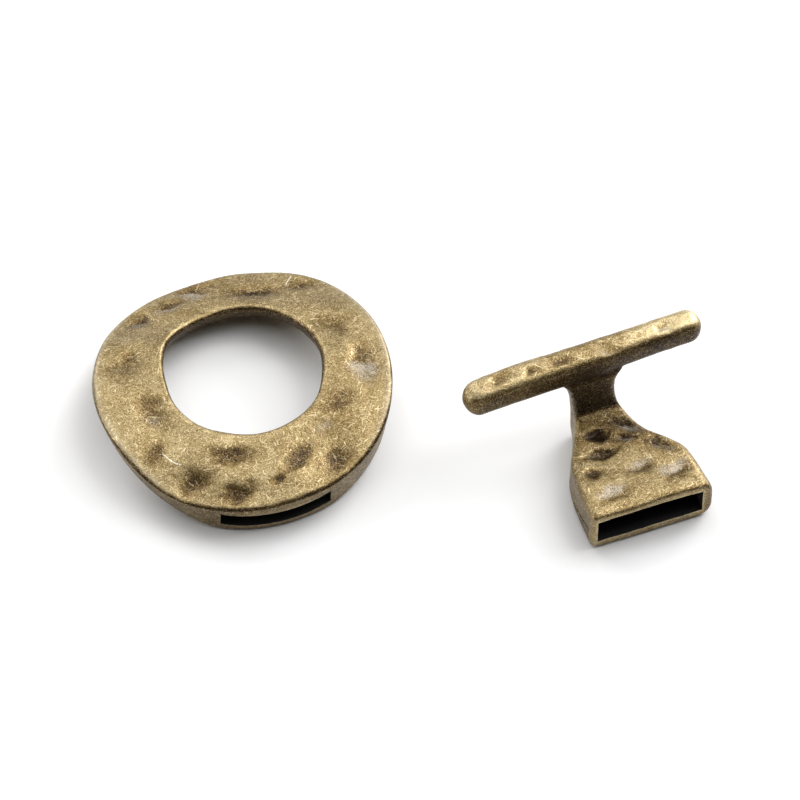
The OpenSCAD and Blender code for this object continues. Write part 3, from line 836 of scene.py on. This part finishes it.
def put_on_node(piece, turn, node):
    """Turns the piece's mesh, moves it over the frame's node and scales it to metres."""
    points = turned(read_array(piece.data.vertices, "co", 3), turn) * MM
    low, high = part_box(node)
    middle = (np.array(low) + np.array(high)) / 2
    shift = middle - (points.min(axis=0) + points.max(axis=0)) / 2
    shift[2] = 0
    piece.data.vertices.foreach_set("co", (points + shift).ravel())
    piece.data.update()
    piece.data.shade_smooth()
    piece.data.set_sharp_from_angle(angle=math.radians(SHARP_ANGLE))


metal = bronze()
for make, turn, node in ((make_ring, RING_TURN, "ring_half"), (make_toggle, TOGGLE_TURN, "toggle_half")):
    piece = make()
    put_on_node(piece, turn, node)
    piece.data.materials.clear()
    piece.data.materials.append(metal)
    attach(piece, "root")
    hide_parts(node)


# Camera, floor and light

CAMERA_AT = (0.04 * MM, -224.97 * MM, 279.77 * MM)
CAMERA_TILT = 39         # degrees off straight down
CAMERA_LENS, CAMERA_SENSOR = 170, 36
CAMERA_CLIP = (0.01, 20)
FLOOR_HALF, FLOOR_GREY, FLOOR_ROUGHNESS = 1.5, 0.88, 0.9
WORLD_LIGHT = 0.03
LIGHT_DISTANCE = 1
LIGHTS = [               # name, azimuth (0 is behind, 90 is right), elevation, width, height, power
    ("back_high", 0, 54, 1.1, 0.6, 3.6),
    ("back_right_high", 60, 55, 0.7, 0.6, 3.9),
    ("back_right", 65, 35, 0.5, 0.4, 1.4),
    ("back_right_low", 40, 22, 0.5, 0.4, 5.6),
    ("back_low", 350, 9, 1.2, 0.22, 1.0),
    ("back_left", 318, 30, 0.5, 0.5, 3.2),
    ("left_low", 270, 18, 0.5, 0.4, 3.2),
    ("right_high", 90, 67, 0.8, 0.8, 1.4),
    ("left_high", 270, 73, 0.7, 0.7, 1.2),
    ("top", 0, 90, 1.0, 1.0, 1.8),
]


def make_camera():
    """The camera as it was fitted to the photograph."""
    camera = bpy.data.objects.new("camera", bpy.data.cameras.new("camera"))
    bpy.context.collection.objects.link(camera)
    camera.location = CAMERA_AT
    camera.rotation_euler = (math.radians(CAMERA_TILT), 0, 0)
    camera.data.lens, camera.data.sensor_width = CAMERA_LENS, CAMERA_SENSOR
    camera.data.clip_start, camera.data.clip_end = CAMERA_CLIP
    bpy.context.scene.camera = camera


def make_floor():
    """A dull, pale square floor under the clasp."""
    half = FLOOR_HALF
    mesh = bpy.data.meshes.new("floor")
    mesh.from_pydata([(-half, -half, 0), (half, -half, 0), (half, half, 0), (-half, half, 0)],
                     [], [(0, 1, 2, 3)])
    floor = bpy.data.objects.new("floor", mesh)
    bpy.context.collection.objects.link(floor)
    material = bpy.data.materials.new("pale_floor")
    material.use_nodes = True
    shader = material.node_tree.nodes["Principled BSDF"]
    shader.inputs["Base Color"].default_value = (FLOOR_GREY, FLOOR_GREY, FLOOR_GREY, 1)
    shader.inputs["Roughness"].default_value = FLOOR_ROUGHNESS
    shader.inputs["Specular IOR Level"].default_value = 0
    mesh.materials.append(material)


def softbox(name, azimuth, elevation, width, height, power):
    """A rectangular light that faces the clasp."""
    light = bpy.data.lights.new(name, "AREA")
    light.shape = "RECTANGLE"
    light.size, light.size_y, light.energy = width, height, power
    lamp = bpy.data.objects.new(name, light)
    bpy.context.collection.objects.link(lamp)
    a, e = math.radians(azimuth), math.radians(elevation)
    heading = Vector((math.sin(a) * math.cos(e), math.cos(a) * math.cos(e), math.sin(e)))
    lamp.location = heading * LIGHT_DISTANCE
    lamp.rotation_euler = lamp.location.to_track_quat("Z", "Y").to_euler()


def make_world():
    """A faint white light from all round."""
    world = bpy.data.worlds.new("studio")
    world.use_nodes = True
    background = world.node_tree.nodes["Background"]
    background.inputs["Color"].default_value = (1, 1, 1, 1)
    background.inputs["Strength"].default_value = WORLD_LIGHT
    bpy.context.scene.world = world
    bpy.context.scene.view_settings.view_transform = "Standard"


make_camera()
make_floor()
for row in LIGHTS:
    softbox(*row)
make_world()
